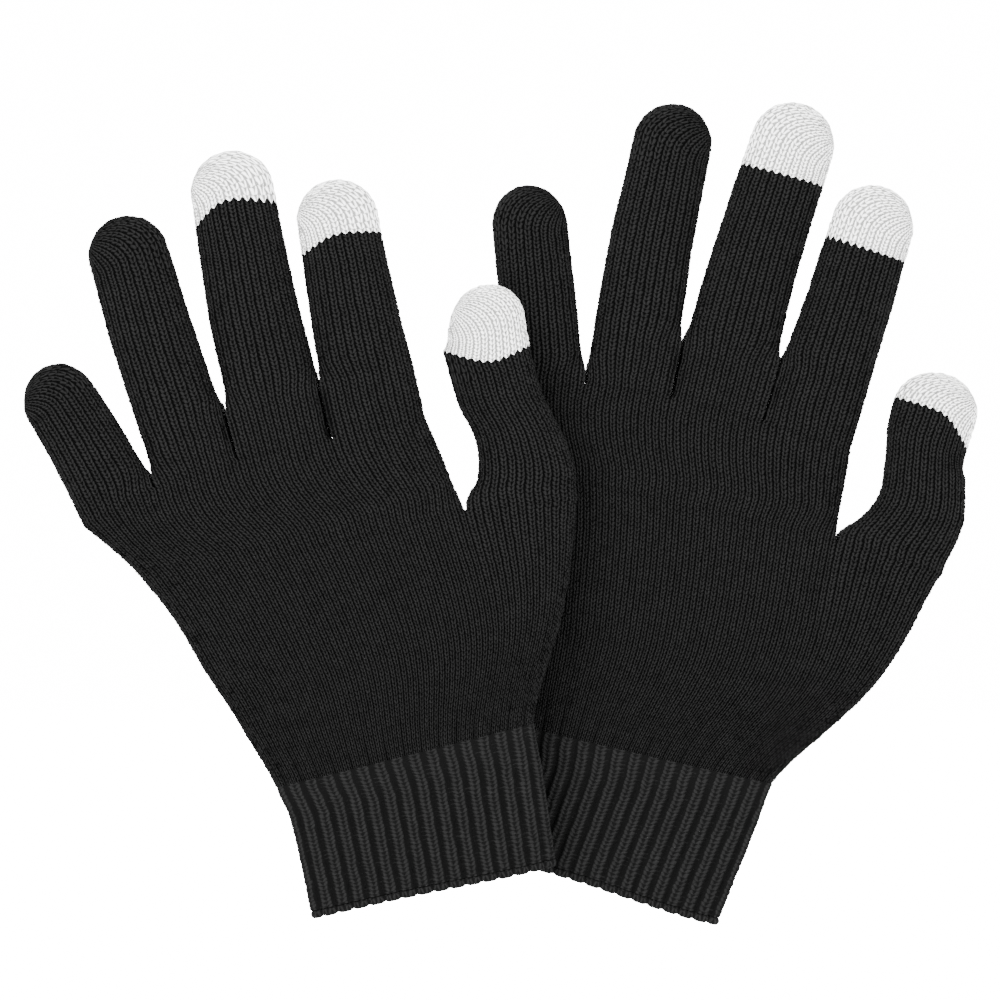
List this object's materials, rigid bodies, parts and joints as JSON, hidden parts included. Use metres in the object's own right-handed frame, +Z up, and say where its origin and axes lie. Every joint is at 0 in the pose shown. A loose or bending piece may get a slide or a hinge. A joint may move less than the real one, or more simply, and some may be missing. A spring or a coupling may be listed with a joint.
{
  "type": "touchscreen gloves",
  "caption": "Pair of black machine-knit stretch gloves with ribbed elastic cuffs and off-white conductive tips on thumb, index and middle finger.",
  "frame": {"origin": "middle of the rear glove's cuff opening, at the bottom of its hem, where the wearer's wrist goes in", "axes": "+X across the pair, towards both thumbs; +Y from the front glove back to the rear one, through their thickness; +Z up, from the cuffs to the fingertips"},
  "size_m": [0.2865, 0.039, 0.2457],
  "materials": {
    "black_knit": "matte",
    "rib_knit": "matte",
    "conductive_knit": "matte",
    "elastic": "matte"
  },
  "bodies": {
    "rear_cuff": {"rear_cuff": "rib_knit", "rear_cuff_edge": "rib_knit", "rear_cuff_elastic": "elastic"},
    "rear_hand": {"rear_lower_palm": "black_knit", "rear_upper_palm": "black_knit"},
    "rear_little_lower": {"rear_little_lower": "black_knit"},
    "rear_little_upper": {"rear_little_upper": "black_knit"},
    "rear_ring_lower": {"rear_ring_lower": "black_knit"},
    "rear_ring_upper": {"rear_ring_upper": "black_knit"},
    "rear_middle_lower": {"rear_middle_lower": "black_knit"},
    "rear_middle_upper": {"rear_middle_upper": "black_knit", "rear_middle_touch_tip": "conductive_knit"},
    "rear_index_lower": {"rear_index_lower": "black_knit"},
    "rear_index_upper": {"rear_index_upper": "black_knit", "rear_index_touch_tip": "conductive_knit"},
    "rear_thumb_lower": {"rear_thumb_lower": "black_knit"},
    "rear_thumb_upper": {"rear_thumb_upper": "black_knit", "rear_thumb_touch_tip": "conductive_knit"},
    "front_cuff": {"front_cuff": "rib_knit", "front_cuff_edge": "rib_knit", "front_cuff_elastic": "elastic"},
    "front_hand": {"front_lower_palm": "black_knit", "front_upper_palm": "black_knit"},
    "front_little_lower": {"front_little_lower": "black_knit"},
    "front_little_upper": {"front_little_upper": "black_knit"},
    "front_ring_lower": {"front_ring_lower": "black_knit"},
    "front_ring_upper": {"front_ring_upper": "black_knit"},
    "front_middle_lower": {"front_middle_lower": "black_knit"},
    "front_middle_upper": {"front_middle_upper": "black_knit", "front_middle_touch_tip": "conductive_knit"},
    "front_index_lower": {"front_index_lower": "black_knit"},
    "front_index_upper": {"front_index_upper": "black_knit", "front_index_touch_tip": "conductive_knit"},
    "front_thumb_lower": {"front_thumb_lower": "black_knit"},
    "front_thumb_upper": {"front_thumb_upper": "black_knit", "front_thumb_touch_tip": "conductive_knit"}
  },
  "joints": [
    {"name": "glove_separation", "type": "slide", "parent": "rear_cuff", "child": "front_cuff", "axis": [0, -1, 0], "range_m": [0, 0.1]},
    {"name": "rear_wrist", "type": "hinge", "parent": "rear_cuff", "child": "rear_hand", "pos_m": [0.01507, 0.0085, 0.0386], "axis": [-0.9744, 0, 0.225], "range_deg": [0, 60]},
    {"name": "rear_little_base", "type": "hinge", "parent": "rear_hand", "child": "rear_little_lower", "pos_m": [-0.01655, 0.0085, 0.1501], "axis": [-0.9976, 0, -0.0698], "range_deg": [0, 90]},
    {"name": "rear_little_fold", "type": "hinge", "parent": "rear_little_lower", "child": "rear_little_upper", "pos_m": [-0.0185, 0.008, 0.17803], "axis": [-0.9962, 0, -0.0872], "range_deg": [0, 100]},
    {"name": "rear_ring_base", "type": "hinge", "parent": "rear_hand", "child": "rear_ring_lower", "pos_m": [0.00876, 0.0085, 0.14894], "axis": [-0.9877, 0, 0.1564], "range_deg": [0, 90]},
    {"name": "rear_ring_fold", "type": "hinge", "parent": "rear_ring_lower", "child": "rear_ring_upper", "pos_m": [0.01549, 0.008, 0.19141], "axis": [-0.9833, 0, 0.1822], "range_deg": [0, 100]},
    {"name": "rear_middle_base", "type": "hinge", "parent": "rear_hand", "child": "rear_middle_lower", "pos_m": [0.03536, 0.0085, 0.14322], "axis": [-0.9659, 0, 0.2588], "range_deg": [0, 90]},
    {"name": "rear_middle_fold", "type": "hinge", "parent": "rear_middle_lower", "child": "rear_middle_upper", "pos_m": [0.04779, 0.008, 0.18958], "axis": [-0.9588, 0, 0.284], "range_deg": [0, 100]},
    {"name": "rear_index_base", "type": "hinge", "parent": "rear_hand", "child": "rear_index_lower", "pos_m": [0.06268, 0.0085, 0.13513], "axis": [-0.9511, 0, 0.309], "range_deg": [0, 90]},
    {"name": "rear_index_fold", "type": "hinge", "parent": "rear_index_lower", "child": "rear_index_upper", "pos_m": [0.07473, 0.008, 0.17222], "axis": [-0.9537, 0, 0.3007], "range_deg": [0, 100]},
    {"name": "rear_thumb_base", "type": "hinge", "parent": "rear_hand", "child": "rear_thumb_lower", "pos_m": [0.08788, 0.0085, 0.09857], "axis": [-0.9563, 0, 0.2924], "range_deg": [0, 60]},
    {"name": "rear_thumb_fold", "type": "hinge", "parent": "rear_thumb_lower", "child": "rear_thumb_upper", "pos_m": [0.09549, 0.008, 0.12343], "axis": [-0.9563, 0, 0.2924], "range_deg": [0, 80]},
    {"name": "front_wrist", "type": "hinge", "parent": "front_cuff", "child": "front_hand", "pos_m": [-0.05701, -0.0255, 0.03951], "axis": [0.9703, 0, 0.2419], "range_deg": [0, 60]},
    {"name": "front_little_base", "type": "hinge", "parent": "front_hand", "child": "front_little_lower", "pos_m": [-0.1435, -0.0255, 0.11349], "axis": [0.8829, 0, 0.4695], "range_deg": [0, 90]},
    {"name": "front_little_fold", "type": "hinge", "parent": "front_little_lower", "child": "front_little_upper", "pos_m": [-0.15383, -0.025, 0.13291], "axis": [0.866, 0, 0.5], "range_deg": [0, 100]},
    {"name": "front_ring_base", "type": "hinge", "parent": "front_hand", "child": "front_ring_lower", "pos_m": [-0.12018, -0.0255, 0.12359], "axis": [0.9455, 0, 0.3256], "range_deg": [0, 90]},
    {"name": "front_ring_fold", "type": "hinge", "parent": "front_ring_lower", "child": "front_ring_upper", "pos_m": [-0.1332, -0.025, 0.16141], "axis": [0.9537, 0, 0.3007], "range_deg": [0, 100]},
    {"name": "front_middle_base", "type": "hinge", "parent": "front_hand", "child": "front_middle_lower", "pos_m": [-0.094, -0.0255, 0.13103], "axis": [0.9744, 0, 0.225], "range_deg": [0, 90]},
    {"name": "front_middle_fold", "type": "hinge", "parent": "front_middle_lower", "child": "front_middle_upper", "pos_m": [-0.10435, -0.025, 0.17585], "axis": [0.9799, 0, 0.1994], "range_deg": [0, 100]},
    {"name": "front_index_base", "type": "hinge", "parent": "front_hand", "child": "front_index_lower", "pos_m": [-0.06618, -0.0255, 0.1372], "axis": [0.9781, 0, 0.2079], "range_deg": [0, 90]},
    {"name": "front_index_fold", "type": "hinge", "parent": "front_index_lower", "child": "front_index_upper", "pos_m": [-0.07408, -0.025, 0.17437], "axis": [0.9816, 0, 0.1908], "range_deg": [0, 100]},
    {"name": "front_thumb_base", "type": "hinge", "parent": "front_hand", "child": "front_thumb_lower", "pos_m": [-0.02332, -0.0255, 0.11452], "axis": [0.9945, 0, 0.1045], "range_deg": [0, 60]},
    {"name": "front_thumb_fold", "type": "hinge", "parent": "front_thumb_lower", "child": "front_thumb_upper", "pos_m": [-0.02656, -0.025, 0.14535], "axis": [0.9833, 0, 0.1822], "range_deg": [0, 80]}
  ]
}
